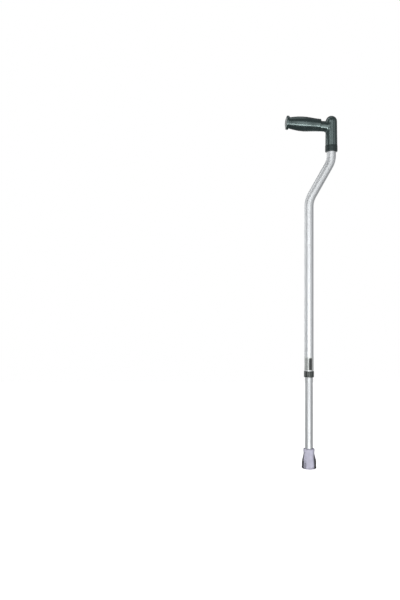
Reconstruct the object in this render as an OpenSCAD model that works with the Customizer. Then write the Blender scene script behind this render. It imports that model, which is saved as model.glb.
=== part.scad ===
// Single point cane with an offset (swan-neck) shaft and a height-adjustable leg.
//
// Frame: the origin is the centre of the ferrule's sole, on the floor. +Z is up along the
// straight shaft. The handle's free end points to -X. The row of height holes and the snap
// button are on the +Y side, so the plain front of the cane faces -Y.

/* [Shaft] */
// Outside diameter of the upper, outer tube
upper_od = 22.2; // [22:0.1:22.6]
// Wall of the upper tube
upper_wall = 1.25; // [1.1:0.05:1.3]
// Outside diameter of the lower, inner tube
lower_od = 19.05; // [18.6:0.05:19.05]
// Wall of the lower tube
lower_wall = 1.25; // [1:0.05:1.5]
// Height of the upper tube's lower end
upper_end_z = 226; // [215:1:235]
// Height at which the lower bend starts
bend_start_z = 642; // [620:1:660]
// Sideways offset between the straight shaft and the handle socket
neck_offset = 55; // [40:1:60]
// Angle of the slanted run, measured from the vertical
neck_angle = 29.5; // [24:0.5:34]
// Centre-line radius of the lower bend
lower_bend_r = 60; // [50:1:70]
// Centre-line radius of the upper bend
upper_bend_r = 50; // [45:1:60]

/* [Height adjustment] */
// Distance from one height hole to the next
hole_pitch = 19.05; // [19.05:0.05:19.4]
// Number of height holes
hole_count = 13; // [7:1:13]
// Diameter of a height hole
hole_d = 8; // [7.9:0.1:8.4]
// Height of the lowest hole
first_hole_z = 262; // [258:1:270]
// Which hole the button stands in, counted from 0 at the bottom
button_hole = 5; // [3:1:7]
// Diameter of the snap button
button_d = 7.2; // [6.6:0.1:7.2]

/* [Handle] */
// Height of the point where the grip's axis crosses the socket's axis
grip_z = 840.5; // [836:0.5:845]
// Rise of the grip towards its free end, in degrees
grip_rise = 4.5; // [0:0.5:8]
// Largest radius of the palm swell
swell_r = 17.7; // [16.5:0.1:19]
// Radius of the grip's end flange
flange_r = 17; // [15:0.5:19]
// Radius of the socket at its top
socket_top_r = 13.9; // [13:0.1:14.4]
// Radius of the socket at its mouth
socket_mouth_r = 14.7; // [14.5:0.1:15.5]

/* [Ferrule] */
// Radius of the ferrule's base
base_r = 17.7; // [17:0.1:20]
// Height of the ferrule
ferrule_h = 48; // [44:1:54]
// Number of buttress ribs
rib_count = 5; // [3:1:8]

/* [Hidden] */
$fn = 72;

// Gap between two pieces that are pressed or glued together
seat = 0.05;
// Radial gap between a sliding tube and the bore that guides it
slide_gap = 0.075;
// Extra wall of the tube's bends, and how far the straight runs reach into them
bend_skin = 0.01;
bend_lap = 0.4;

upper_r = upper_od / 2;
upper_bore_r = upper_r - upper_wall;
lower_r = lower_od / 2;
lower_bore_r = lower_r - lower_wall;

// The slanted run's length follows from the offset, the angle and the two bends.
bend_side = 1 - cos(neck_angle);
slant_len = (neck_offset - (lower_bend_r + upper_bend_r) * bend_side) / sin(neck_angle);
slant_x = lower_bend_r * bend_side;
slant_z = bend_start_z + lower_bend_r * sin(neck_angle);
upper_bend_z = slant_z + slant_len * cos(neck_angle) + upper_bend_r * sin(neck_angle);

socket_bottom_z = 777.5;
ring_top_z = 792.5;
tube_top_z = 826;
dome_z = 851.8;
spigot_r = 12.6;
ring_r = 15;
rivet_z = 806;
rivet_r = 2;
rivet_gap = 0.1;
vent_r = 1.2;

// Distances along the grip's axis, from the socket's axis towards the free end
core_start = -9;
neck_len = 27;
swell_at = 69;
flange_at = 105;
flange_t = 6.5;
grip_end = 113.5;
core_end = 107;
core_r = 7.95;
core_wall = 2;
neck_r = 12.8;
neck_drop = 2;
grip_inner_end_r = 15.3;
grip_waist_r = 13.4;
core_rivet_at = 15;

collar_bottom_z = 223.5;
collar_top_z = 238.7;
collar_r = 12.3;
label_bottom_z = 240;
label_top_z = 274;
label_t = 0.15;
label_wrap = 230;

tube_foot_z = 9;
foot_h = 3.6;
foot_step = 0.35;
base_top_z = 14.5;
ferrule_neck_z = 39;
ferrule_waist_r = 13.1;
washer_t = 1.5;
button_z = first_hole_z + button_hole * hole_pitch;
leg_top_z = button_z + 28;
button_foot_y = 6.05;
button_tip_y = 13.6;
spring_w = 8;
spring_t = 0.6;
spring_len = 42;

// Turns a shape that stands along +Z so that it points to the back, +Y.
module to_back() {
    rotate([-90, 0, 0])
        children();
}

// Stands a shape, made along +Z, on the grip's axis. Its own +X then points up.
module on_grip_axis() {
    translate([neck_offset, 0, grip_z])
        rotate([0, grip_rise - 90, 0])
            children();
}

// A ring-shaped outline.
module ring2d(r_out, r_in) {
    difference() {
        circle(r = r_out);
        circle(r = r_in);
    }
}

// A tube that stands on the XY plane.
module pipe(r_out, r_in, h) {
    linear_extrude(height = h)
        ring2d(r_out, r_in);
}

// One bend of the upper tube, in the XZ plane, around the point (cx, cz). Its wall is a hair
// thicker than the straight runs' wall, so that their ends sit inside it.
module tube_bend(cx, cz, bend_r, from_angle) {
    translate([cx, 0, cz])
        rotate([90, 0, 0])
            rotate([0, 0, from_angle])
                rotate_extrude(angle = neck_angle)
                    translate([bend_r, 0])
                        ring2d(upper_r + bend_skin, upper_bore_r - bend_skin);
}

// Points of an arc, for outlines that are turned or extruded.
function arc(cx, cy, r, a0, a1, steps = 8) =
    [for (i = [0:steps]) let (a = a0 + (a1 - a0) * i / steps) [cx + r * cos(a), cy + r * sin(a)]];

// Sideways offset of a path by d, with mitred corners, for strips of even thickness.
function side_of(a, b) = let (u = (b - a) / norm(b - a)) [-u[1], u[0]];
function path_side(p, d) = [
    for (i = [0:len(p) - 1])
        let (
            n1 = i == 0 ? side_of(p[0], p[1]) : side_of(p[i - 1], p[i]),
            n2 = i == len(p) - 1 ? n1 : side_of(p[i], p[i + 1])
        )
        p[i] + d * (n1 + n2) / (1 + n1 * n2)
];
function reversed(p) = [for (i = [len(p) - 1:-1:0]) p[i]];

// The upper tube's three straight runs and two bends. Each run laps into the bends.
module swan_neck() {
    translate([0, 0, upper_end_z])
        pipe(upper_r, upper_bore_r, bend_start_z + bend_lap - upper_end_z);
    tube_bend(lower_bend_r, bend_start_z, lower_bend_r, 180 - neck_angle);
    translate([slant_x, 0, slant_z])
        rotate([0, neck_angle, 0])
            translate([0, 0, -bend_lap])
                pipe(upper_r, upper_bore_r, slant_len + 2 * bend_lap);
    tube_bend(neck_offset - upper_bend_r, upper_bend_z, upper_bend_r, -neck_angle);
    translate([neck_offset, 0, upper_bend_z - bend_lap])
        pipe(upper_r, upper_bore_r, tube_top_z + bend_lap - upper_bend_z);
}

module upper_tube() {
    color("gainsboro")
        difference() {
            swan_neck();
            for (i = [0:hole_count - 1])
                translate([0, 0, first_hole_z + i * hole_pitch])
                    to_back()
                        cylinder(d = hole_d, h = upper_od);
            translate([neck_offset, 0, rivet_z])
                to_back()
                    cylinder(r = rivet_r + rivet_gap, h = upper_od);
        }
}

// The moulded elbow: a vertical socket with a domed top, and the horizontal neck.
module handle_housing() {
    color("darkslategray")
        difference() {
            union() {
                translate([neck_offset, 0, 0])
                    rotate_extrude()
                        polygon(concat(
                            [[0, socket_bottom_z + 2], [spigot_r, socket_bottom_z + 2]],
                            [[spigot_r, ring_top_z], [socket_mouth_r, ring_top_z]],
                            arc(0, dome_z, socket_top_r, 0, 90, 12)
                        ));
                on_grip_axis()
                    translate([-neck_drop, 0, 0])
                        cylinder(r = neck_r, h = neck_len);
            }
            translate([neck_offset, 0, socket_bottom_z])
                cylinder(r = upper_r + seat, h = tube_top_z - socket_bottom_z + seat);
            on_grip_axis()
                translate([0, 0, core_start - seat])
                    cylinder(r = core_r + seat, h = neck_len * 2);
            translate([neck_offset, 0, rivet_z])
                to_back()
                    cylinder(r = rivet_r + rivet_gap, h = upper_od);
            on_grip_axis()
                translate([0, 0, core_rivet_at])
                    to_back()
                        cylinder(r = rivet_r + rivet_gap, h = upper_od);
        }
}

// Aluminium core that carries the grip, fixed in the housing.
module grip_core() {
    color("silver")
        difference() {
            on_grip_axis()
                translate([0, 0, core_start])
                    pipe(core_r, core_r - core_wall, core_end - core_start);
            on_grip_axis()
                translate([0, 0, core_rivet_at])
                    to_back()
                        cylinder(r = rivet_r + rivet_gap, h = upper_od);
        }
}

// Radius of the grip at a distance s along its axis.
function grip_r(s) =
    s < swell_at
        ? grip_inner_end_r + (swell_r - grip_inner_end_r)
            * (1 - cos(180 * (s - neck_len) / (swell_at - neck_len))) / 2
        : grip_waist_r + (swell_r - grip_waist_r)
            * cos(90 * (s - swell_at) / (flange_at - swell_at));

// Soft moulded sleeve with a palm swell, a waist and an end flange. Its far end is closed.
module hand_grip() {
    flange_edge = 2;
    side_steps = 22;
    side = [for (i = [0:side_steps]) let (s = neck_len + seat
        + (flange_at - neck_len - seat) * i / side_steps) [grip_r(s), s]];
    color("darkslategray")
        on_grip_axis()
            difference() {
                rotate_extrude()
                    polygon(concat(
                        [[0, neck_len + seat]],
                        side,
                        arc(flange_r - flange_edge, flange_at + flange_edge, flange_edge, -90, 0, 4),
                        arc(flange_r - flange_edge, flange_at + flange_t - flange_edge, flange_edge, 0, 90, 4),
                        [[flange_r * 0.5, grip_end], [0, grip_end + 0.3]]
                    ));
                cylinder(r = core_r + seat, h = core_end + seat);
                cylinder(r = vent_r, h = grip_end * 2);
            }
}

// Ring that closes the mouth of the socket around the tube.
module socket_ring() {
    lip_h = 1.8;
    edge = 1.2;
    color("black")
        translate([neck_offset, 0, 0])
            rotate_extrude()
                polygon(concat(
                    [[upper_r + seat, socket_bottom_z]],
                    arc(ring_r - edge, socket_bottom_z + edge, edge, -90, 0, 5),
                    arc(ring_r - edge, ring_top_z - edge, edge, 0, 90, 5),
                    [[spigot_r + seat, ring_top_z]],
                    [[spigot_r + seat, socket_bottom_z + lip_h]],
                    [[upper_r + seat, socket_bottom_z + lip_h]]
                ));
}

// A blind rivet along +Z: its body ends at height h, where its domed head starts.
module rivet(h, body_len) {
    dome_r = 3.8;
    dome_drop = 1.7;
    rim_a = asin(dome_drop / dome_r);
    rotate_extrude()
        polygon(concat(
            [[0, h - body_len], [rivet_r, h - body_len], [rivet_r, h]],
            arc(0, h - dome_drop, dome_r, rim_a, 90, 6)
        ));
}

// Two rivets in the back of the handle: one holds the tube, the other the grip's core.
module handle_rivets() {
    socket_r = socket_mouth_r + (socket_top_r - socket_mouth_r)
        * (rivet_z - ring_top_z) / (dome_z - ring_top_z);
    color("silver") {
        translate([neck_offset, 0, rivet_z])
            to_back()
                rivet(socket_r + rivet_gap, 6);
        on_grip_axis()
            translate([0, 0, core_rivet_at])
                to_back()
                    rivet(neck_r + rivet_gap, 6.6);
    }
}

// Black collar on the upper tube's lower end. Its lip guides the leg and stops rattle.
module guide_collar() {
    edge = 0.8;
    color("black")
        rotate_extrude()
            polygon(concat(
                [[lower_r + slide_gap, collar_bottom_z]],
                arc(collar_r - edge, collar_bottom_z + edge, edge, -90, 0, 4),
                arc(collar_r - edge, collar_top_z - edge, edge, 0, 90, 4),
                [[upper_r + seat, collar_top_z]],
                [[upper_r + seat, upper_end_z - seat]],
                [[lower_r + slide_gap, upper_end_z - seat]]
            ));
}

// Vinyl label wrapped around the front of the upper tube.
module rating_label() {
    color("darkgray")
        rotate([0, 0, -90 - label_wrap / 2])
            rotate_extrude(angle = label_wrap)
                translate([upper_r + 0.02, label_bottom_z])
                    square([label_t, label_top_z - label_bottom_z]);
}

module lower_tube() {
    color("gainsboro")
        difference() {
            translate([0, 0, tube_foot_z])
                pipe(lower_r, lower_bore_r, leg_top_z - tube_foot_z);
            translate([0, 0, button_z])
                to_back()
                    cylinder(d = hole_d, h = upper_od);
        }
}

// Nylon plug in the leg's top end. Its head slides in the upper tube.
module leg_bush() {
    head_h = 5;
    plug_h = 12;
    bore_r = 5.5;
    color("white")
        rotate_extrude()
            polygon([
                [bore_r, leg_top_z - plug_h],
                [lower_bore_r - seat, leg_top_z - plug_h],
                [lower_bore_r - seat, leg_top_z + seat],
                [upper_bore_r - slide_gap, leg_top_z + seat],
                [upper_bore_r - slide_gap, leg_top_z + head_h - 1],
                [upper_bore_r - 1, leg_top_z + head_h],
                [bore_r, leg_top_z + head_h]
            ]);
}

// Hairpin leaf spring inside the leg: one arm lies on the front wall, the bend is at the
// bottom, and the other arm slants to the back and presses on the button's foot.
module button_spring() {
    bend_z = button_z - spring_len;
    bend_r = 2.2;
    wall_y = 0.6 - button_foot_y;
    pad_y = button_foot_y - spring_t / 2 - 0.1;
    path = concat(
        [[wall_y, button_z + 9]],
        arc(wall_y + bend_r, bend_z, bend_r, 180, 360, 10),
        [[pad_y, button_z - 7], [pad_y, button_z + 5]]
    );
    color("steelblue")
        rotate([90, 0, 90])
            translate([0, 0, -spring_w / 2])
                linear_extrude(height = spring_w)
                    polygon(concat(
                        path_side(path, spring_t / 2),
                        reversed(path_side(path, -spring_t / 2))
                    ));
}

// Snap button: a domed cap on a foot that stops against the inside of the leg.
module snap_button() {
    tip = 1.6;
    foot_r = 4.4;
    foot_top = button_foot_y + 0.6;
    color("silver")
        translate([0, 0, button_z])
            to_back()
                rotate_extrude()
                    polygon(concat(
                        [[0, button_foot_y], [foot_r, button_foot_y], [foot_r, foot_top]],
                        [[button_d / 2, foot_top]],
                        arc(button_d / 2 - tip, button_tip_y - tip, tip, 0, 90, 6),
                        [[0, button_tip_y]]
                    ));
}

// Radius of the ferrule's bell-shaped flare, at height z between its base and its neck.
function flare_r(z) = ferrule_waist_r
    + (base_r - foot_step - ferrule_waist_r) * pow((ferrule_neck_z - z) / (ferrule_neck_z - base_top_z), 1.5);

// One buttress rib of the ferrule, on the +X side. It runs down the flare into the base.
module ferrule_rib() {
    rib_w = 5.5;
    rib_low = 12;
    rib_high = 36;
    proud = 1.4;
    crest = [for (i = [0:6]) let (z = base_top_z + 4 + (rib_high - base_top_z - 4) * i / 6)
        [min(base_r - foot_step, flare_r(z) + proud * (rib_high - z) / (rib_high - base_top_z - 4)), z]];
    translate([0, rib_w / 2, 0])
        rotate([90, 0, 0])
            linear_extrude(height = rib_w)
                polygon(concat(
                    [[lower_r + 1, rib_low], [base_r - foot_step - 0.05, rib_low]],
                    crest,
                    [[lower_r + 1, rib_high]]
                ));
}

// Rubber tip: a bell with a rolled rim, buttress ribs, a wide base and a ringed sole.
module ferrule() {
    rim_r = 13.7;
    edge = 1.5;
    groove_w = 1.6;
    groove_d = 1.4;
    flare_steps = 12;
    color("dimgray")
        difference() {
            union() {
                rotate_extrude()
                    polygon(concat(
                        [[0, 0], [base_r - 1, 0], [base_r, 1]],
                        [[base_r, foot_h], [base_r - foot_step, foot_h + foot_step]],
                        [for (i = [0:flare_steps]) let (z = base_top_z
                            + (ferrule_neck_z - base_top_z) * i / flare_steps) [flare_r(z), z]],
                        arc(rim_r - edge, ferrule_neck_z + 2, edge, -30, 0, 3),
                        arc(rim_r - edge, ferrule_h - edge, edge, 0, 90, 6),
                        [[0, ferrule_h]]
                    ));
                for (i = [0:rib_count - 1])
                    rotate([0, 0, 360 * i / rib_count])
                        ferrule_rib();
            }
            translate([0, 0, tube_foot_z - washer_t - seat])
                cylinder(r = lower_r + seat, h = ferrule_h);
            for (r = [5.9, 9.6, 13.3])
                translate([0, 0, -groove_d])
                    pipe(r + groove_w, r, groove_d * 2);
        }
}

// Steel washer in the ferrule, so that the tube's end doesn't cut through the rubber.
module ferrule_washer() {
    color("silver")
        translate([0, 0, tube_foot_z - washer_t])
            pipe(lower_r - 0.1, 3, washer_t - seat);
}

upper_tube();
handle_housing();
grip_core();
hand_grip();
socket_ring();
handle_rivets();
guide_collar();
rating_label();
lower_tube();
leg_bush();
button_spring();
snap_button();
ferrule();
ferrule_washer();
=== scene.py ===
"""Looks of the single point cane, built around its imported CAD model.

Everything is in metres, in the CAD frame: the origin is the centre of the ferrule's sole,
+Z is up the shaft, the grip points to -X and the row of height holes faces +Y.
"""

import math

import bmesh
import bpy
import numpy as np
from mathutils import Matrix, Vector


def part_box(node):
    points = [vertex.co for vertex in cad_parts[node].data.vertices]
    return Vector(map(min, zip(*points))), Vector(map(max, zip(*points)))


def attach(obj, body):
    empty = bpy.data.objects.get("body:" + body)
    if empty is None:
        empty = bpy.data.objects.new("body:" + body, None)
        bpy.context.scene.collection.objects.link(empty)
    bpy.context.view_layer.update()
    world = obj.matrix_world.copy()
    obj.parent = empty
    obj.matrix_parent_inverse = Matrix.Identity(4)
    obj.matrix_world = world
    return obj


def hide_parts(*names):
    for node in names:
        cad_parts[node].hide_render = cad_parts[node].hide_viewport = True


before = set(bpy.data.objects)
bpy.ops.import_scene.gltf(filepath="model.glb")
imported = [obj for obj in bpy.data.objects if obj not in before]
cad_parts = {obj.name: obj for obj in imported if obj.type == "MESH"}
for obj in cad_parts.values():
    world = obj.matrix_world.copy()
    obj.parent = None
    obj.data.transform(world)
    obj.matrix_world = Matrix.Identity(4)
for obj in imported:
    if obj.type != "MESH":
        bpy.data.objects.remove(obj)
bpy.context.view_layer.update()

MM = 0.001

# ---------------------------------------------------------------- sizes shared with the CAD

BEND_START_Z = 642 * MM
NECK_ANGLE = math.radians(29.5)
LOWER_BEND_R = 60 * MM
UPPER_BEND_R = 50 * MM
WALL = 1.25 * MM
HOLE_R = 4 * MM
HOLE_PITCH = 19.05 * MM
HOLE_COUNT = 13
FIRST_HOLE_Z = 262 * MM
BUTTON_HOLE = 5
GRIP_RISE = math.radians(4.5)
GRIP_Z = 840.5 * MM
NECK_DROP = 2 * MM
NECK_LEN = 27 * MM
NECK_R = 12.8 * MM
CORE_RIVET_AT = 15 * MM
SOCKET_TOP_R = 13.9 * MM
SOCKET_MOUTH_R = 14.7 * MM
SPIGOT_R = 12.6 * MM
CORE_R = 7.95 * MM
CORE_END = 107 * MM
GRIP_SWELL_AT = 69 * MM
GRIP_FLANGE_AT = 105 * MM
SEAT = 0.05 * MM
TUBE_TOP_Z = 826 * MM
FERRULE_RIBS = 5
FERRULE_BASE_TOP_Z = 14.5 * MM
FERRULE_NECK_Z = 39 * MM
FERRULE_WAIST_R = 13.1 * MM
FOOT_STEP = 0.35 * MM

upper_lo, upper_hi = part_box("upper_tube")
lower_lo, lower_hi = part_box("lower_tube")
ring_lo, ring_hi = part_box("socket_ring")
collar_lo, collar_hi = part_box("guide_collar")
label_lo, label_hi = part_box("rating_label")
housing_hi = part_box("handle_housing")[1]
ferrule_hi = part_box("ferrule")[1]
button_lo, button_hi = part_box("snap_button")

LOWER_R = lower_hi.y
FERRULE_BASE_R = ferrule_hi.y
UPPER_R = 11.1 * MM
SOCKET_X = (ring_lo.x + ring_hi.x) / 2
BUTTON_Z = FIRST_HOLE_Z + BUTTON_HOLE * HOLE_PITCH
DOME_Z = housing_hi.z - SOCKET_TOP_R
RING_TOP_Z = ring_hi.z


# ---------------------------------------------------------------- mesh helpers

def mesh_piece(name, verts, faces):
    """A mesh object made from points and faces, with its normals facing out."""
    mesh = bpy.data.meshes.new(name)
    mesh.from_pydata([tuple(v) for v in verts], [], [tuple(f) for f in faces])
    bm = bmesh.new()
    bm.from_mesh(mesh)
    bmesh.ops.remove_doubles(bm, verts=bm.verts, dist=1e-7)
    bmesh.ops.recalc_face_normals(bm, faces=bm.faces)
    bm.to_mesh(mesh)
    bm.free()
    piece = bpy.data.objects.new(name, mesh)
    bpy.context.scene.collection.objects.link(piece)
    return piece


def smooth(piece, angle=35):
    """Smooth shading, with an edge kept sharp where the surface turns by more than angle."""
    piece.data.shade_smooth()
    piece.data.set_sharp_from_angle(angle=math.radians(angle))
    return piece


def apply_modifiers(piece):
    """Replaces a piece's mesh by the one its modifiers make."""
    depsgraph = bpy.context.evaluated_depsgraph_get()
    mesh = bpy.data.meshes.new_from_object(piece.evaluated_get(depsgraph))
    old = piece.data
    piece.modifiers.clear()
    piece.data = mesh
    bpy.data.meshes.remove(old)
    mesh.name = piece.name
    return piece


def boolean(piece, other, operation="DIFFERENCE"):
    """Cuts other out of piece, or joins it on, and deletes other."""
    mod = piece.modifiers.new("boolean", "BOOLEAN")
    mod.operation = operation
    mod.solver = "EXACT"
    mod.object = other
    apply_modifiers(piece)
    bpy.data.objects.remove(other)
    return piece


def remesh(piece, voxel):
    """Rebuilds the surface in even cells of about voxel metres."""
    mod = piece.modifiers.new("remesh", "REMESH")
    mod.mode = "VOXEL"
    mod.voxel_size = voxel
    return apply_modifiers(piece)


def relax(piece, rounds, weight=None):
    """Evens out a mesh. weight(point) gives how far a point follows its neighbours, 0 to 1."""
    mesh = piece.data
    count = len(mesh.vertices)
    points = np.empty(count * 3)
    mesh.vertices.foreach_get("co", points)
    points = points.reshape(-1, 3)
    ends = np.empty(len(mesh.edges) * 2, int)
    mesh.edges.foreach_get("vertices", ends)
    a, b = ends.reshape(-1, 2).T
    degree = np.bincount(np.concatenate([a, b]), minlength=count)[:, None]
    pull = np.full((count, 1), 0.5)
    if weight:
        pull = 0.5 * np.array([weight(p) for p in points])[:, None]
    for _ in range(rounds):
        total = np.zeros_like(points)
        np.add.at(total, a, points[b])
        np.add.at(total, b, points[a])
        points = points + pull * (total / degree - points)
    mesh.vertices.foreach_set("co", points.ravel())
    mesh.update()
    return piece


def revolve(name, outline, steps=96, closed=False):
    """Turns an outline of (radius, height) points around Z. closed joins its ends."""
    verts, faces = [], []
    rows = len(outline)
    for i in range(steps):
        a = 2 * math.pi * i / steps
        verts += [(r * math.cos(a), r * math.sin(a), z) for r, z in outline]
    spans = rows if closed else rows - 1
    for i in range(steps):
        for j in range(spans):
            k = (j + 1) % rows
            n = (i + 1) % steps
            faces.append((i * rows + j, n * rows + j, n * rows + k, i * rows + k))
    return clean(mesh_piece(name, verts, faces))


def clean(piece):
    """Drops faces and edges that have shrunk to nothing, as on the axis of a revolve."""
    bm = bmesh.new()
    bm.from_mesh(piece.data)
    bmesh.ops.dissolve_degenerate(bm, dist=1e-7, edges=bm.edges)
    bmesh.ops.recalc_face_normals(bm, faces=bm.faces)
    bm.to_mesh(piece.data)
    bm.free()
    return piece


def rod(name, radius, length, steps=64):
    """A closed cylinder along +Z, from the origin."""
    return revolve(name, [(0, 0), (radius, 0), (radius, length), (0, length)], steps)


def place(piece, matrix):
    """Moves a piece by changing its mesh, so that its object stays at the origin."""
    piece.data.transform(matrix)
    piece.data.update()
    return piece


def arc(cx, cy, radius, start, end, steps=8):
    """Points of an arc, with its angles in degrees."""
    turn = [math.radians(start + (end - start) * i / steps) for i in range(steps + 1)]
    return [(cx + radius * math.cos(t), cy + radius * math.sin(t)) for t in turn]


TO_BACK = Matrix.Rotation(math.radians(-90), 4, "X")
ON_GRIP_AXIS = (
    Matrix.Translation((SOCKET_X, 0, GRIP_Z))
    @ Matrix.Rotation(GRIP_RISE - math.pi / 2, 4, "Y")
)


def shift(x, y, z):
    return Matrix.Translation((x, y, z))


# ---------------------------------------------------------------- the shaft's centre line

slant_len = (SOCKET_X - (LOWER_BEND_R + UPPER_BEND_R) * (1 - math.cos(NECK_ANGLE))) / math.sin(NECK_ANGLE)
slant_x = LOWER_BEND_R * (1 - math.cos(NECK_ANGLE))
slant_z = BEND_START_Z + LOWER_BEND_R * math.sin(NECK_ANGLE)
upper_bend_z = slant_z + slant_len * math.cos(NECK_ANGLE) + UPPER_BEND_R * math.sin(NECK_ANGLE)
lower_arc_len = LOWER_BEND_R * NECK_ANGLE
upper_arc_len = UPPER_BEND_R * NECK_ANGLE


def centre_line(s):
    """Point (x, z) and lean of the shaft's centre line, s metres above the lower bend's start."""
    if s <= 0:
        return 0.0, BEND_START_Z + s, 0.0
    if s < lower_arc_len:
        lean = s / LOWER_BEND_R
        return LOWER_BEND_R * (1 - math.cos(lean)), BEND_START_Z + LOWER_BEND_R * math.sin(lean), lean
    s -= lower_arc_len
    if s < slant_len:
        return slant_x + s * math.sin(NECK_ANGLE), slant_z + s * math.cos(NECK_ANGLE), NECK_ANGLE
    s -= slant_len
    if s < upper_arc_len:
        lean = NECK_ANGLE - s / UPPER_BEND_R
        x = SOCKET_X - UPPER_BEND_R * (1 - math.cos(lean))
        return x, upper_bend_z - UPPER_BEND_R * math.sin(lean), lean
    return SOCKET_X, upper_bend_z + s - upper_arc_len, 0.0


def straightened(p):
    """Where a point of the upper tube would be if its shaft were straight."""
    x, y, z = p
    if z <= BEND_START_Z:
        return x, y, z
    lean = math.atan2(z - BEND_START_Z, LOWER_BEND_R - x)
    if lean < NECK_ANGLE:
        out = math.hypot(z - BEND_START_Z, LOWER_BEND_R - x)
        return LOWER_BEND_R - out, y, BEND_START_Z + lean * LOWER_BEND_R
    slant_from = BEND_START_Z + lower_arc_len
    along = (x - slant_x) * math.sin(NECK_ANGLE) + (z - slant_z) * math.cos(NECK_ANGLE)
    across = (x - slant_x) * math.cos(NECK_ANGLE) - (z - slant_z) * math.sin(NECK_ANGLE)
    if along < slant_len:
        return across, y, slant_from + along
    bend_x = SOCKET_X - UPPER_BEND_R
    lean = math.atan2(upper_bend_z - z, x - bend_x)
    if lean > 0:
        out = math.hypot(upper_bend_z - z, x - bend_x) - UPPER_BEND_R
        return out, y, slant_from + slant_len + (NECK_ANGLE - lean) * UPPER_BEND_R
    return x - SOCKET_X, y, slant_from + slant_len + upper_arc_len + z - upper_bend_z


def mark_run(piece, rule=tuple):
    """Stores, for the materials, where each point lies along its straightened piece, in mm."""
    run = piece.data.attributes.new("run", "FLOAT_VECTOR", "POINT")
    for v, item in zip(piece.data.vertices, run.data):
        item.vector = [c / MM for c in rule(v.co)]
    return piece


# ---------------------------------------------------------------- material helpers

class Paint:
    """A node material: a Principled shader, and short ways to add the nodes that feed it."""

    def __init__(self, name, coords="object", **settings):
        self.material = bpy.data.materials.new(name)
        self.material.use_nodes = True
        self.tree = self.material.node_tree
        self.shader = self.tree.nodes["Principled BSDF"]
        for key, value in settings.items():
            self.shader.inputs[key.replace("_", " ")].default_value = value
        if coords == "run":
            source = self.add("ShaderNodeAttribute")
            source.attribute_name = "run"
            self.where = source.outputs["Vector"]
        else:
            source = self.add("ShaderNodeTexCoord")
            scale = self.add("ShaderNodeVectorMath")
            scale.operation = "SCALE"
            scale.inputs["Scale"].default_value = 1 / MM
            self.link(source.outputs["Object"], scale.inputs[0])
            self.where = scale.outputs[0]

    def add(self, kind):
        return self.tree.nodes.new(kind)

    def link(self, a, b):
        self.tree.links.new(a, b)

    def stretched(self, x, y, z):
        """The coordinates, in mm, divided by a length in each direction."""
        node = self.add("ShaderNodeVectorMath")
        node.operation = "MULTIPLY"
        node.inputs[1].default_value = (1 / x, 1 / y, 1 / z)
        self.link(self.where, node.inputs[0])
        return node.outputs[0]

    def noise(self, size, detail=3, rough=0.5, seed=0):
        """Noise whose features are about size mm, or (x, y, z) mm."""
        sizes = size if isinstance(size, tuple) else (size,) * 3
        node = self.add("ShaderNodeTexNoise")
        node.noise_dimensions = "4D"
        node.inputs["W"].default_value = seed
        node.inputs["Scale"].default_value = 1
        node.inputs["Detail"].default_value = detail
        node.inputs["Roughness"].default_value = rough
        self.link(self.stretched(*sizes), node.inputs["Vector"])
        return node.outputs["Fac"]

    def spots(self, size):
        """Distance from the nearest of many scattered points, about size mm apart."""
        node = self.add("ShaderNodeTexVoronoi")
        node.inputs["Scale"].default_value = 1
        self.link(self.stretched(size, size, size), node.inputs["Vector"])
        return node.outputs["Distance"]

    def axis(self, name):
        """One coordinate, X, Y or Z, in mm."""
        node = self.add("ShaderNodeSeparateXYZ")
        self.link(self.where, node.inputs[0])
        return node.outputs[name]

    def math(self, operation, a, b=0.0, c=None):
        """A math node, whose inputs are numbers or outputs of other nodes."""
        node = self.add("ShaderNodeMath")
        node.operation = operation
        for socket, value in zip(node.inputs, (a, b, c)):
            if value is None:
                continue
            if isinstance(value, (int, float)):
                socket.default_value = value
            else:
                self.link(value, socket)
        return node.outputs[0]

    def span(self, value, low, high, to_low=0.0, to_high=1.0, soft=True):
        """Maps value from low..high to to_low..to_high, and holds it outside."""
        node = self.add("ShaderNodeMapRange")
        node.interpolation_type = "SMOOTHSTEP" if soft else "LINEAR"
        node.inputs["From Min"].default_value = low
        node.inputs["From Max"].default_value = high
        node.inputs["To Min"].default_value = to_low
        node.inputs["To Max"].default_value = to_high
        self.link(value, node.inputs["Value"])
        return node.outputs[0]

    def between(self, value, low, high, edge):
        """1 where value lies between low and high, fading to 0 over edge."""
        up = self.span(value, low - edge, low + edge)
        down = self.span(value, high - edge, high + edge, 1, 0)
        return self.math("MULTIPLY", up, down)

    def mix(self, factor, a, b):
        """Colour a where factor is 0, and colour b where it is 1."""
        node = self.add("ShaderNodeMix")
        node.data_type = "RGBA"
        # The node has an A and a B for each data type. Sockets 6 and 7 are the colours.
        for socket, value in ((node.inputs[6], a), (node.inputs[7], b)):
            if isinstance(value, tuple):
                socket.default_value = (*value, 1)
            else:
                self.link(value, socket)
        self.link(factor, node.inputs["Factor"])
        return node.outputs[2]

    def feed(self, socket, value):
        """Links a node's output to a socket of the shader."""
        self.link(value, self.shader.inputs[socket])

    def bump(self, height, depth, strength=1.0):
        """Bump from a height of 0 to 1, where 1 stands depth mm proud."""
        node = self.add("ShaderNodeBump")
        node.inputs["Strength"].default_value = strength
        node.inputs["Distance"].default_value = depth * MM
        self.link(height, node.inputs["Height"])
        self.link(node.outputs[0], self.shader.inputs["Normal"])

    def on(self, *pieces):
        """Makes this the only material of each piece."""
        for piece in pieces:
            piece.data.materials.clear()
            piece.data.materials.append(self.material)


# ---------------------------------------------------------------- materials

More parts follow.
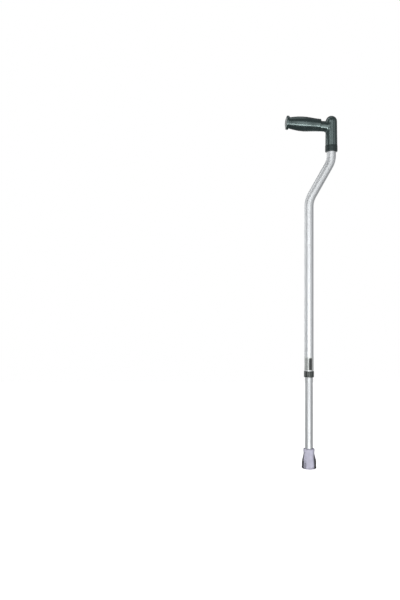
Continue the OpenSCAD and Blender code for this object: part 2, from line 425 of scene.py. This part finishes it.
def anodised(name, tone, dull, wear_from, wear_to, holes=False):
    """Satin anodised tube: drawing lines along it, faint smudges and rub marks."""
    paint = Paint(name, coords="run", Metallic=1.0)
    lines = paint.noise((0.35, 0.35, 260), detail=4, rough=0.7)
    fine = paint.noise((0.12, 0.12, 40), detail=2, seed=3)
    cloud = paint.noise((14, 14, 60), detail=3, seed=5)
    scuff = paint.noise((1.2, 1.2, 9), detail=5, rough=0.75, seed=7)
    rub = paint.span(scuff, 0.60, 0.72)
    rub = paint.math("MULTIPLY", rub, paint.between(paint.axis("Z"), wear_from, wear_to, 12))
    dark = tuple(0.86 * c for c in tone)
    base = paint.mix(paint.span(lines, 0.35, 0.65), dark, tone)
    base = paint.mix(paint.span(cloud, 0.4, 0.75, 0, 0.35), base, tuple(0.93 * c for c in tone))
    base = paint.mix(paint.math("MULTIPLY", rub, 0.55), base, tuple(0.72 * c for c in tone))
    if holes:
        base = worn_hole_rims(paint, base)
    paint.feed("Base Color", base)
    gloss = paint.span(lines, 0.3, 0.7, dull - 0.05, dull + 0.05)
    gloss = paint.math("ADD", gloss, paint.span(cloud, 0.4, 0.7, -0.02, 0.05))
    gloss = paint.math("ADD", gloss, paint.math("MULTIPLY", rub, 0.14))
    paint.feed("Roughness", gloss)
    height = paint.math("ADD", paint.math("MULTIPLY", lines, 0.7), paint.math("MULTIPLY", fine, 0.3))
    height = paint.math("SUBTRACT", height, paint.math("MULTIPLY", rub, 0.8))
    paint.bump(height, 0.012, 0.35)
    return paint


def worn_hole_rims(paint, base):
    """A bright ring of bare metal round each height hole, where the button rubs."""
    x = paint.axis("X")
    step = HOLE_PITCH / MM
    first = FIRST_HOLE_Z / MM
    z = paint.math("SUBTRACT", paint.axis("Z"), first - step / 2)
    z = paint.math("SUBTRACT", paint.math("FLOORED_MODULO", z, step), step / 2)
    reach = paint.math("SQRT", paint.math("ADD", paint.math("MULTIPLY", x, x), paint.math("MULTIPLY", z, z)))
    hole = HOLE_R / MM
    ring = paint.between(reach, hole - 0.5, hole + 0.45, 0.12)
    row = paint.between(paint.axis("Z"), first - step / 2, first + (HOLE_COUNT - 0.5) * step, 0.5)
    back = paint.span(paint.axis("Y"), 5, 6)
    ring = paint.math("MULTIPLY", ring, paint.math("MULTIPLY", row, back))
    return paint.mix(ring, base, (0.93, 0.93, 0.93))


def moulded(name, tone, gloss, grain, grain_depth, shine=0.9, tint=(0.80, 1.0, 0.98), seam=True):
    """Moulded plastic or vinyl: fine grain, uneven gloss, faint scuffs and a parting line."""
    paint = Paint(name, Specular_IOR_Level=shine, IOR=1.68, Specular_Tint=(*tint, 1.0))
    skin = paint.noise(grain, detail=3, rough=0.6)
    cloud = paint.noise(16, detail=4, seed=2)
    scuff = paint.noise((5, 0.8, 0.8), detail=6, rough=0.8, seed=9)
    marks = paint.span(scuff, 0.64, 0.74)
    pale = tuple(min(1.0, c * 1.9 + 0.012) for c in tone)
    base = paint.mix(paint.span(cloud, 0.35, 0.75, 0, 0.5), tone, tuple(c * 1.35 for c in tone))
    base = paint.mix(paint.math("MULTIPLY", marks, 0.35), base, pale)
    paint.feed("Base Color", base)
    rough = paint.span(cloud, 0.35, 0.7, gloss - 0.04, gloss + 0.06)
    rough = paint.math("ADD", rough, paint.math("MULTIPLY", marks, 0.12))
    paint.feed("Roughness", rough)
    height = paint.math("MULTIPLY", skin, 0.5)
    if seam:
        line = paint.between(paint.axis("Y"), -0.12, 0.12, 0.1)
        height = paint.math("ADD", height, line)
    paint.bump(height, grain_depth, 0.6)
    return paint


def rubber(name, tone, sole):
    """Grey rubber: chalky bloom, fine pores, dirt and scuffs towards the sole, and painted shade between the
    ribs and on the two sides of the foot.
    """
    paint = Paint(name, Specular_IOR_Level=0.35)
    pores = paint.spots(0.55)
    grain = paint.noise(0.8, detail=5, rough=0.7)
    cloud = paint.noise(9, detail=5, rough=0.6, seed=4)
    low = paint.span(paint.axis("Z"), 1.0, 9.0, 1, 0)
    dirt = paint.math("MULTIPLY", low, paint.span(paint.noise(3.5, detail=6, rough=0.7, seed=6), 0.42, 0.6))
    base = paint.mix(paint.span(cloud, 0.35, 0.7), tuple(0.86 * c for c in tone), tone)
    base = paint.mix(paint.span(grain, 0.62, 0.75, 0, 0.5), base, tuple(min(1, 1.25 * c) for c in tone))
    base = paint.mix(paint.math("MULTIPLY", dirt, 0.7), base, sole)
    # Painted shade: darkens the recesses between the ribs and the two sides of the foot.
    base = paint.mix(rib_painted_shade(paint), base, tuple(0.14 * c for c in sole))
    paint.feed("Base Color", base)
    paint.feed("Roughness", paint.span(cloud, 0.3, 0.7, 0.50, 0.68))
    height = paint.math("ADD", paint.math("MULTIPLY", grain, 0.6), paint.math("MULTIPLY", pores, 0.4))
    paint.bump(height, 0.12, 0.5)
    return paint


def rib_painted_shade(paint):
    """Painted shade: soft darkening between the ribs, stronger near the base and on the two sides of the
    foot.
    """
    turn = paint.math("ARCTAN2", paint.axis("Y"), paint.axis("X"))
    step = 2 * math.pi / FERRULE_RIBS
    off = paint.math("ADD", turn, 2 * math.pi + step / 2)
    off = paint.math("SUBTRACT", paint.math("FLOORED_MODULO", off, step), step / 2)
    off = paint.math("ABSOLUTE", paint.math("MULTIPLY", off, FERRULE_BASE_R / MM))
    wander = paint.span(paint.noise(3.5, detail=4, seed=11), 0.3, 0.7, -1.2, 1.2)
    recess = paint.span(paint.math("ADD", off, wander), 2.0, 5.8)
    across = paint.math("ABSOLUTE", paint.axis("X"))
    # Painted shade, stronger on the left and right sides, where the surface turns away from the front light.
    side = paint.span(across, 7.5, 12.5, 0.10, 1.0)
    low = paint.span(paint.axis("Z"), 24.0, 46.0, 1.0, 0.4)
    recess_shade = paint.math("MULTIPLY", paint.math("MULTIPLY", recess, side), low)
    # Painted shade along the base's outer left and right edges.
    edge = paint.span(paint.math("ADD", across, wander), 11.0, 15.5, 0.0, 0.9)
    foot = paint.math("MULTIPLY", edge, paint.span(paint.axis("Z"), 17.0, 29.0, 1.0, 0.0))
    return paint.math("MAXIMUM", recess_shade, foot)


def metal(name, tone, dull, grain=0.4):
    """Plain plated or mill-finish metal of a small or hidden piece."""
    paint = Paint(name, Metallic=1.0)
    cloud = paint.noise(grain, detail=4, rough=0.7)
    stain = paint.noise(3, detail=3, seed=8)
    paint.feed("Base Color", paint.mix(paint.span(stain, 0.35, 0.7), tuple(0.8 * c for c in tone), tone))
    paint.feed("Roughness", paint.span(cloud, 0.3, 0.7, dull - 0.06, dull + 0.08))
    paint.bump(cloud, 0.02, 0.3)
    return paint


def nylon(name, tone):
    """Natural nylon of the hidden bush."""
    paint = Paint(name, Roughness=0.45, Subsurface_Weight=0.1)
    cloud = paint.noise(2.5, detail=4)
    paint.feed("Base Color", paint.mix(paint.span(cloud, 0.3, 0.7), tuple(0.9 * c for c in tone), tone))
    paint.bump(paint.noise(0.5, detail=3), 0.02, 0.4)
    return paint


def printed_label(name):
    """Satin vinyl with a plain grey panel and a plain dark panel, and no lettering."""
    paint = Paint(name, Specular_IOR_Level=0.5)
    turn = paint.math("ARCTAN2", paint.axis("X"), paint.math("MULTIPLY", paint.axis("Y"), -1))
    degrees = paint.math("MULTIPLY", turn, 180 / math.pi)
    z = paint.axis("Z")
    low, high = label_lo.z / MM, label_hi.z / MM
    rows = paint.between(z, low + 1.2, high - 3.4, 0.12)
    grey = paint.math("MULTIPLY", paint.between(degrees, -62, -12, 0.6), rows)
    dark = paint.math("MULTIPLY", paint.between(degrees, -9, 30, 0.6), rows)
    fibre = paint.noise(0.6, detail=4, rough=0.65)
    cloud = paint.noise(7, detail=4, seed=1)
    base = paint.mix(paint.span(cloud, 0.3, 0.7), (0.60, 0.62, 0.61), (0.68, 0.70, 0.69))
    base = paint.mix(grey, base, (0.41, 0.43, 0.42))
    base = paint.mix(dark, base, (0.022, 0.026, 0.025))
    base = paint.mix(paint.span(fibre, 0.66, 0.74, 0, 0.35), base, (0.45, 0.46, 0.45))
    paint.feed("Base Color", base)
    paint.feed("Metallic", paint.span(dark, 0, 1, 0.75, 0))
    paint.feed("Roughness", paint.span(cloud, 0.3, 0.7, 0.38, 0.50))
    paint.bump(fibre, 0.01, 0.4)
    return paint


# ---------------------------------------------------------------- pieces of the shaft body

def tube_wall(name, rings, point, outer, inner, steps=96):
    """A tube with a wall: point(s) gives the centre line's x, z and lean at each of rings."""
    verts, faces = [], []
    for s in rings:
        x, z, lean = point(s)
        across = Vector((math.cos(lean), 0, -math.sin(lean)))
        for radius in (outer, inner):
            for i in range(steps):
                a = 2 * math.pi * i / steps
                depth = Vector((0, radius * math.sin(a), 0))
                verts.append(Vector((x, 0, z)) + across * radius * math.cos(a) + depth)
    row = 2 * steps
    for k in range(len(rings) - 1):
        for i in range(steps):
            n = (i + 1) % steps
            at, up = k * row, (k + 1) * row
            faces.append((at + i, at + n, up + n, up + i))
            faces.append((at + steps + i, up + steps + i, up + steps + n, at + steps + n))
    last = (len(rings) - 1) * row
    for i in range(steps):
        n = (i + 1) % steps
        faces.append((i, steps + i, steps + n, n))
        faces.append((last + i, last + n, last + steps + n, last + steps + i))
    return mesh_piece(name, verts, faces)


def spread(start, end, step):
    """Evenly spaced values from start up to, but without, end."""
    count = max(1, math.ceil((end - start) / step))
    return [start + (end - start) * i / count for i in range(count)]


def upper_tube():
    """Bent tube with the row of height holes. Its rings lie closer at the holes and in the bends."""
    margin = 8 * MM
    row_start = FIRST_HOLE_Z - margin - BEND_START_Z
    row_end = FIRST_HOLE_Z + (HOLE_COUNT - 1) * HOLE_PITCH + margin - BEND_START_Z
    bends_end = lower_arc_len + slant_len + upper_arc_len
    start = upper_lo.z - BEND_START_Z
    end = bends_end + upper_hi.z - upper_bend_z
    rings = spread(start, row_start, 6 * MM) + spread(row_start, row_end, 2.4 * MM)
    rings += spread(row_end, 0, 12 * MM) + spread(0, lower_arc_len, 1.6 * MM)
    rings += spread(lower_arc_len, lower_arc_len + slant_len, 8 * MM)
    rings += spread(lower_arc_len + slant_len, bends_end, 1.6 * MM)
    rings += spread(bends_end, end, 8 * MM) + [end]
    tube = tube_wall("shaft_tube", rings, centre_line, UPPER_R, UPPER_R - WALL)
    for i in range(HOLE_COUNT):
        drill = place(rod("drill", HOLE_R, 20 * MM), shift(0, 0, FIRST_HOLE_Z + i * HOLE_PITCH) @ TO_BACK)
        boolean(tube, drill)
    return mark_run(smooth(tube, 30), straightened)


def handle_housing():
    """Socket, dome and neck in one flowing shape, with a soft fillet where they meet."""
    outline = [(0, RING_TOP_Z - 2 * MM), (SOCKET_MOUTH_R, RING_TOP_Z - 2 * MM)]
    outline += arc(0, DOME_Z, SOCKET_TOP_R, 0, 90, 16)
    shell = place(revolve("elbow_housing", outline), shift(SOCKET_X, 0, 0))
    neck = rod("neck", NECK_R, NECK_LEN + 2 * MM)
    place(neck, ON_GRIP_AXIS @ shift(-NECK_DROP, 0, 0))
    boolean(shell, neck, "UNION")
    remesh(shell, 0.8 * MM)
    relax(shell, 3)

    def near_joint(p):
        """Strongest on the corner between the socket and the neck."""
        out = math.hypot(p[0] - SOCKET_X, p[1]) - SOCKET_TOP_R
        local = ON_GRIP_AXIS.inverted() @ Vector(p)
        off = math.hypot(local.x + NECK_DROP, local.y) - NECK_R
        return max(0.0, 1 - math.hypot(out, off) / (6 * MM)) if local.z > 0 else 0.0

    relax(shell, 60, near_joint)
    trim_housing(shell)
    return smooth(shell, 40)


def trim_housing(shell):
    """Squares off the mouth and the neck's end, then adds the spigot and the two bores."""
    big = 60 * MM
    below = rod("below", big, big, 48)
    boolean(shell, place(below, shift(SOCKET_X, 0, RING_TOP_Z - big)))
    beyond = rod("beyond", big, big, 48)
    boolean(shell, place(beyond, ON_GRIP_AXIS @ shift(0, 0, NECK_LEN)))
    spigot = rod("spigot", SPIGOT_R, RING_TOP_Z - ring_lo.z + 2 * MM, 96)
    boolean(shell, place(spigot, shift(SOCKET_X, 0, ring_lo.z + 2 * MM)), "UNION")
    bore = rod("bore", UPPER_R + SEAT, TUBE_TOP_Z + SEAT - ring_lo.z, 96)
    boolean(shell, place(bore, shift(SOCKET_X, 0, ring_lo.z)))
    core_bore = rod("core_bore", CORE_R + SEAT, 2 * NECK_LEN, 96)
    boolean(shell, place(core_bore, ON_GRIP_AXIS @ shift(0, 0, -9.05 * MM)))


def grip_radius(s):
    """The grip's radius, s metres along its axis from the socket's axis, as in the CAD."""
    inner, swell, waist = 15.3 * MM, 17.7 * MM, 13.4 * MM
    if s < GRIP_SWELL_AT:
        along = (s - NECK_LEN) / (GRIP_SWELL_AT - NECK_LEN)
        return inner + (swell - inner) * (1 - math.cos(math.pi * along)) / 2
    along = (s - GRIP_SWELL_AT) / (GRIP_FLANGE_AT - GRIP_SWELL_AT)
    return waist + (swell - waist) * math.cos(math.pi / 2 * along)


def hand_grip():
    """Sleeve with a palm swell, a waist and an end flange that has a small vent in its middle."""
    flange_r, flange_w, end = 16.95 * MM, 6.5 * MM, 113.5 * MM
    lip, vent_r, vent_depth = 1.6 * MM, 1.2 * MM, 5 * MM
    bore_r, bore_end = CORE_R + SEAT, CORE_END + 0.2 * MM
    outline = [(0, bore_end), (bore_r, bore_end), (bore_r, NECK_LEN + 0.1 * MM)]
    outline += arc(grip_radius(NECK_LEN) - lip, NECK_LEN + lip, lip, -90, 0, 6)
    sleeve = np.linspace(NECK_LEN + 2 * lip, GRIP_FLANGE_AT - 2.2 * MM, 46)
    outline += [(grip_radius(s), s) for s in sleeve]
    outline += arc(grip_radius(GRIP_FLANGE_AT) + lip, GRIP_FLANGE_AT - 0.4 * MM, 1.5 * MM, 175, 100, 6)
    outline += arc(flange_r - lip, GRIP_FLANGE_AT + lip, lip, -90, 0, 6)
    outline += arc(flange_r - lip, GRIP_FLANGE_AT + flange_w - lip, lip, 0, 80, 6)
    outline += [(flange_r / 2, end - 0.1 * MM), (vent_r + 0.4 * MM, end), (vent_r, end - 0.6 * MM)]
    outline += [(vent_r, end - vent_depth), (0, end - vent_depth)]
    grip = place(revolve("contoured_grip", outline, 128), ON_GRIP_AXIS)
    return smooth(grip, 40)


def socket_ring():
    """Ring on the socket's spigot, with a groove near each end."""
    edge = 1.1 * MM
    outer = ring_hi.x - SOCKET_X
    inner = UPPER_R + SEAT
    low, high = ring_lo.z, ring_hi.z
    groove = 0.35 * MM
    outline = [(inner, low + 0.5 * MM), (inner + 0.4 * MM, low)]
    outline += arc(outer - edge, low + edge, edge, -90, 0, 6)
    for at in (low + 3.4 * MM, high - 3.4 * MM):
        outline += arc(outer, at, groove, -90, -270, 6)
    outline += arc(outer - edge, high - edge, edge, 0, 90, 6)
    seat = SPIGOT_R + SEAT
    outline += [(seat, high), (seat, low + 1.8 * MM), (inner, low + 1.8 * MM)]
    ring = place(revolve("mouth_ring", outline, 112, closed=True), shift(SOCKET_X, 0, 0))
    return smooth(ring, 30)


def guide_collar():
    """Collar on the upper tube's lower end, whose small bore guides the leg."""
    edge = 1.0 * MM
    outer = collar_hi.y
    low, high = collar_lo.z, collar_hi.z
    inner, seat = LOWER_R + 0.075 * MM, UPPER_R + SEAT
    outline = [(inner, low + 0.4 * MM), (inner + 0.4 * MM, low)]
    outline += arc(outer - edge, low + edge, edge, -90, 0, 6)
    outline += arc(outer, low + 2.9 * MM, 0.3 * MM, -90, -270, 6)
    outline += arc(outer - edge, high - edge, edge, 0, 80, 6)
    outline += [(seat, high), (seat, upper_lo.z - SEAT), (inner, upper_lo.z - SEAT)]
    return smooth(revolve("anti_rattle_collar", outline, 112, closed=True), 30)


def rating_label():
    """A thin wrap round the front of the tube, with rounded corners."""
    half_turn = math.radians(115)
    inner, outer = UPPER_R + 0.02 * MM, UPPER_R + 0.17 * MM
    low, high = label_lo.z, label_hi.z
    corner = 2.5 * MM
    columns, rows = 120, 16
    verts, faces = [], []
    for radius in (outer, inner):
        for i in range(columns + 1):
            turn = half_turn * (2 * i / columns - 1)
            spare = (half_turn - abs(turn)) * UPPER_R
            cut = corner - math.sqrt(max(0.0, corner**2 - max(0.0, corner - spare) ** 2))
            for j in range(rows + 1):
                z = low + cut + (high - low - 2 * cut) * j / rows
                verts.append((radius * math.sin(turn), -radius * math.cos(turn), z))
    side = (columns + 1) * (rows + 1)
    for i in range(columns):
        for j in range(rows):
            a, b = i * (rows + 1) + j, (i + 1) * (rows + 1) + j
            faces.append((a, b, b + 1, a + 1))
            faces.append((side + a, side + a + 1, side + b + 1, side + b))
    border = [i * (rows + 1) for i in range(columns + 1)]
    border += [columns * (rows + 1) + j for j in range(1, rows + 1)]
    border += [i * (rows + 1) + rows for i in range(columns - 1, -1, -1)]
    border += [j for j in range(rows - 1, 0, -1)]
    for a, b in zip(border, border[1:] + border[:1]):
        faces.append((a, side + a, side + b, b))
    return smooth(mesh_piece("wrap_label", verts, faces), 40)


def rivet_outline(radius):
    """A domed head with the small crater that a blind rivet's pin leaves."""
    dome, drop = 3.8 * MM, 1.7 * MM
    rim = math.degrees(math.asin(drop / dome))
    points = [(0, -1.5 * MM), (radius, -1.5 * MM), (radius, 0)]
    points += arc(0, -drop, dome, rim, 70, 8)
    points += [(1.15 * MM, 1.75 * MM), (1.0 * MM, 1.2 * MM), (0.4 * MM, 1.1 * MM), (0, 1.25 * MM)]
    return points


def handle_rivets():
    """Two blind rivets in the back: one in the socket and one in the neck."""
    rivet_z = 806 * MM
    taper = (rivet_z - RING_TOP_Z) / (DOME_Z - RING_TOP_Z)
    socket_r = SOCKET_MOUTH_R + (SOCKET_TOP_R - SOCKET_MOUTH_R) * taper
    spots = (
        shift(SOCKET_X, 0, rivet_z) @ TO_BACK @ shift(0, 0, socket_r + 0.1 * MM),
        ON_GRIP_AXIS @ shift(0, 0, CORE_RIVET_AT) @ TO_BACK @ shift(0, 0, NECK_R + 0.1 * MM),
    )
    pair = []
    for i, spot in enumerate(spots):
        pair.append(smooth(place(revolve(f"blind_rivet_{i + 1}", rivet_outline(2 * MM), 48), spot), 30))
    return pair


# ---------------------------------------------------------------- pieces of the leg and button

def lower_tube():
    """Leg tube, with one hole for the button."""
    start, end = lower_lo.z, lower_hi.z
    rings = spread(start, BUTTON_Z - 10 * MM, 8 * MM) + spread(BUTTON_Z - 10 * MM, end, 1.5 * MM) + [end]
    tube = tube_wall("leg_tube", rings, lambda z: (0.0, z, 0.0), LOWER_R, LOWER_R - WALL)
    boolean(tube, place(rod("drill", HOLE_R, 20 * MM), shift(0, 0, BUTTON_Z) @ TO_BACK))
    return mark_run(smooth(tube, 30))


def snap_button():
    """Domed button with a collar that stays inside the leg."""
    radius, tip = 3.6 * MM, 1.7 * MM
    top = button_hi.y
    foot = button_lo.y
    outline = [(0, foot), (4.2 * MM, foot), (4.4 * MM, foot + 0.2 * MM), (4.4 * MM, foot + 0.6 * MM)]
    outline += [(radius + 0.3 * MM, foot + 0.6 * MM), (radius, foot + 1.0 * MM)]
    outline += arc(radius - tip, top - tip - 0.15 * MM, tip, 0, 80, 8)
    outline += [(radius * 0.35, top), (0, top)]
    return smooth(place(revolve("button_cap", outline, 56), shift(0, 0, BUTTON_Z) @ TO_BACK), 40)


def flare_radius(z):
    """Radius of the ferrule's bell-shaped flare, as in the CAD."""
    down = (FERRULE_NECK_Z - z) / (FERRULE_NECK_Z - FERRULE_BASE_TOP_Z)
    return FERRULE_WAIST_R + (FERRULE_BASE_R - FOOT_STEP - FERRULE_WAIST_R) * down**1.5


def ferrule():
    """Rim, flare, ribs, base and ringed sole as one soft moulding."""
    base, top = FERRULE_BASE_R, ferrule_hi.z
    bore, bore_z = LOWER_R + 0.03 * MM, 7.5 * MM
    edge, rim, foot_h, bevel = 1.5 * MM, 13.7 * MM, 3.6 * MM, 1 * MM
    outline = [(0, 0), (base - bevel, 0), (base, bevel)]
    outline += [(base, foot_h), (base - FOOT_STEP, foot_h + FOOT_STEP)]
    outline += [(flare_radius(z), z) for z in np.linspace(FERRULE_BASE_TOP_Z, FERRULE_NECK_Z, 24)]
    outline += arc(rim - edge, FERRULE_NECK_Z + 2 * MM, edge, -30, 0, 4)
    outline += arc(rim - edge, top - edge, edge, 0, 90, 6)
    outline += [(bore, top), (bore, bore_z), (0, bore_z)]
    tip = revolve("ferrule_body", outline, 128)
    for i in range(FERRULE_RIBS):
        boolean(tip, ferrule_rib(2 * math.pi * i / FERRULE_RIBS), "UNION")
    groove_w, groove_d = 1.6 * MM, 1.4 * MM
    for inner in (5.9 * MM, 9.6 * MM, 13.3 * MM):
        outer = inner + groove_w
        ring = [(inner, -1 * MM), (outer, -1 * MM), (outer, groove_d), (inner, groove_d)]
        boolean(tip, revolve("sole_groove", ring, 96, closed=True))
    remesh(tip, 0.38 * MM)
    relax(tip, 1)
    return smooth(tip, 45)


def ferrule_rib(turn):
    """A wedge that runs down the flare into the base, on the side that turn gives."""
    half, proud = 2.75 * MM, 1.4 * MM
    low, start, high = 12 * MM, FERRULE_BASE_TOP_Z + 4 * MM, 36 * MM
    inner, foot = LOWER_R + 1 * MM, FERRULE_BASE_R - FOOT_STEP
    side = [(inner, low), (foot - 0.05 * MM, low)]
    for z in np.linspace(start, high, 8):
        side.append((min(foot, flare_radius(z) + proud * (high - z) / (high - start)), z))
    side.append((inner, high))
    verts = [(r, y, z) for y in (-half, half) for r, z in side]
    count = len(side)
    faces = [tuple(range(count)), tuple(range(2 * count - 1, count - 1, -1))]
    faces += [(i, (i + 1) % count, count + (i + 1) % count, count + i) for i in range(count)]
    return place(mesh_piece("rib", verts, faces), Matrix.Rotation(turn, 4, "Z"))


# ---------------------------------------------------------------- dressing the frame

DARK_GREEN = (0.006, 0.013, 0.013)
BLACK = (0.003, 0.004, 0.004)

upper_metal = anodised("anodised_upper", (0.76, 0.78, 0.795), 0.42, 245, 500, holes=True)
lower_metal = anodised("anodised_leg", (0.66, 0.68, 0.69), 0.50, 60, 340)
housing_skin = moulded("housing_plastic", DARK_GREEN, 0.22, 0.9, 0.010, 1.0)
grip_skin = moulded("grip_vinyl", DARK_GREEN, 0.24, 0.6, 0.004)
ring_skin = moulded("ring_plastic", (0.004, 0.009, 0.009), 0.42, 0.7, 0.02, 0.45, seam=False)
collar_skin = moulded("collar_plastic", BLACK, 0.20, 0.8, 0.01, 0.75, (0.93, 1.0, 0.97), seam=False)
label_skin = printed_label("label_vinyl")
rubber_skin = rubber("ferrule_rubber", (0.60, 0.59, 0.72), (0.12, 0.11, 0.13))
zinc = metal("rivet_zinc", (0.66, 0.67, 0.69), 0.32)
nickel = metal("button_nickel", (0.80, 0.79, 0.76), 0.16)
core_metal = metal("core_aluminium", (0.72, 0.73, 0.74), 0.36)
spring_metal = metal("spring_steel", (0.36, 0.38, 0.44), 0.28)
washer_metal = metal("washer_zinc", (0.60, 0.61, 0.63), 0.38)
bush_skin = nylon("bush_nylon", (0.80, 0.79, 0.74))


def dress(pieces, body, node, paint):
    """Puts pieces on a body in place of a CAD node and material."""
    for piece in pieces if isinstance(pieces, list) else [pieces]:
        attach(piece, body)
        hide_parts(node)
        paint.on(piece)


dress(upper_tube(), "shaft", "upper_tube", upper_metal)
dress(handle_housing(), "shaft", "handle_housing", housing_skin)
dress(hand_grip(), "shaft", "hand_grip", grip_skin)
dress(socket_ring(), "shaft", "socket_ring", ring_skin)
dress(guide_collar(), "shaft", "guide_collar", collar_skin)
dress(rating_label(), "shaft", "rating_label", label_skin)
dress(handle_rivets(), "shaft", "handle_rivets", zinc)
dress(lower_tube(), "leg", "lower_tube", lower_metal)
dress(ferrule(), "leg", "ferrule", rubber_skin)
dress(snap_button(), "button", "snap_button", nickel)

for node, paint in (
    ("grip_core", core_metal),
    ("leg_bush", bush_skin),
    ("button_spring", spring_metal),
    ("ferrule_washer", washer_metal),
):
    paint.on(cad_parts[node])


# ---------------------------------------------------------------- floor, light and camera

def studio_floor():
    """A wide pale floor that glows a little, as a lit table does, so it stays even."""
    size = 1.6
    corners = [(-size, -size, 0), (size, -size, 0), (size, size, 0), (-size, size, 0)]
    floor = mesh_piece("studio_floor", corners, [(0, 1, 2, 3)])
    paint = Paint("floor_paint", Roughness=0.9, Specular_IOR_Level=0.1, Emission_Strength=0.8)
    paint.shader.inputs["Emission Color"].default_value = (1, 1, 1, 1)
    shade = paint.noise(900, detail=2)
    paint.feed("Base Color", paint.mix(shade, (0.90, 0.90, 0.90), (0.93, 0.93, 0.93)))
    paint.on(floor)
    floor.visible_diffuse = False
    floor.visible_glossy = False
    floor.visible_shadow = False


def softbox(name, azimuth, distance, low, high, width, radiance, target=(0, 0, 0.45)):
    """A soft panel. azimuth is in degrees from the front, and grows towards +X."""
    turn = math.radians(azimuth)
    data = bpy.data.lights.new(name, "AREA")
    data.shape = "RECTANGLE"
    data.size, data.size_y = width, high - low
    data.energy = radiance * math.pi * width * (high - low)
    lamp = bpy.data.objects.new(name, data)
    lamp.location = (distance * math.sin(turn), -distance * math.cos(turn), (low + high) / 2)
    lamp.rotation_euler = (Vector(target) - lamp.location).to_track_quat("-Z", "Y").to_euler()
    bpy.context.scene.collection.objects.link(lamp)


def studio_world():
    """White for the camera. For the object, pale walls under a darker ceiling and over a darker floor."""
    world = bpy.data.worlds.new("studio_world")
    bpy.context.scene.world = world
    world.use_nodes = True
    tree = world.node_tree
    tree.nodes.clear()
    out = tree.nodes.new("ShaderNodeOutputWorld")
    seen, room = (tree.nodes.new("ShaderNodeBackground") for _ in range(2))
    seen.inputs["Color"].default_value = (1, 1, 1, 1)
    room.inputs["Color"].default_value = (0.98, 0.99, 1.0, 1)
    way = tree.nodes.new("ShaderNodeTexCoord")
    height = tree.nodes.new("ShaderNodeSeparateXYZ")
    tree.links.new(way.outputs["Generated"], height.inputs[0])
    level = tree.nodes.new("ShaderNodeMath")
    level.operation = "MULTIPLY"
    floor_to_wall = (-0.45, -0.15, 0.4, 1.0)
    wall_to_ceiling = (0.14, 0.34, 0.48, 0.25)
    for i, (low, high, at_low, at_high) in enumerate((floor_to_wall, wall_to_ceiling)):
        ramp = tree.nodes.new("ShaderNodeMapRange")
        ramp.interpolation_type = "SMOOTHSTEP"
        for key, value in zip(("From Min", "From Max", "To Min", "To Max"), (low, high, at_low, at_high)):
            ramp.inputs[key].default_value = value
        tree.links.new(height.outputs["Z"], ramp.inputs["Value"])
        tree.links.new(ramp.outputs[0], level.inputs[i])
    tree.links.new(level.outputs[0], room.inputs["Strength"])
    switch = tree.nodes.new("ShaderNodeMixShader")
    path = tree.nodes.new("ShaderNodeLightPath")
    tree.links.new(path.outputs["Is Camera Ray"], switch.inputs[0])
    tree.links.new(room.outputs[0], switch.inputs[1])
    tree.links.new(seen.outputs[0], switch.inputs[2])
    tree.links.new(switch.outputs[0], out.inputs[0])


def product_camera():
    """Level camera at mid height, left of the cane, which stands right of the picture's middle."""
    frame_height = 1.476
    distance = 1.55
    data = bpy.data.cameras.new("camera")
    camera = bpy.data.objects.new("camera", data)
    camera.location = (-0.268, -distance, 0.413)
    camera.rotation_euler = (math.pi / 2, 0, 0)
    data.sensor_width = 36
    data.lens = 36 * distance / frame_height
    bpy.context.scene.collection.objects.link(camera)
    bpy.context.scene.camera = camera


studio_floor()
studio_world()
product_camera()
softbox("key_left", -33, 1.9, -0.5, 1.6, 0.6, 1.8)
softbox("front", 4, 2.0, -0.5, 1.6, 1.1, 1.2)
softbox("low_front", -4, 3.2, -1.65, -0.9, 3.0, 7.5, (0, 0, 0.8))
softbox("fill_right", 48, 2.0, -0.5, 1.6, 0.8, 0.6)
softbox("side_left", -102, 1.9, -0.2, 3.0, 0.9, 1.0, (0, 0, 0.7))
softbox("high_left", -75, 1.5, 2.0, 3.3, 1.2, 0.8, (0, 0, 0.8))
softbox("top_light", 0, 0.01, 2.2, 2.9, 0.7, 0.8)
softbox("back_left", -150, 1.8, -0.3, 1.7, 0.5, 1.3)
softbox("back_right", 165, 1.8, -0.3, 1.7, 0.4, 1.6)

bpy.context.scene.view_settings.view_transform = "Standard"
bpy.context.view_layer.update()
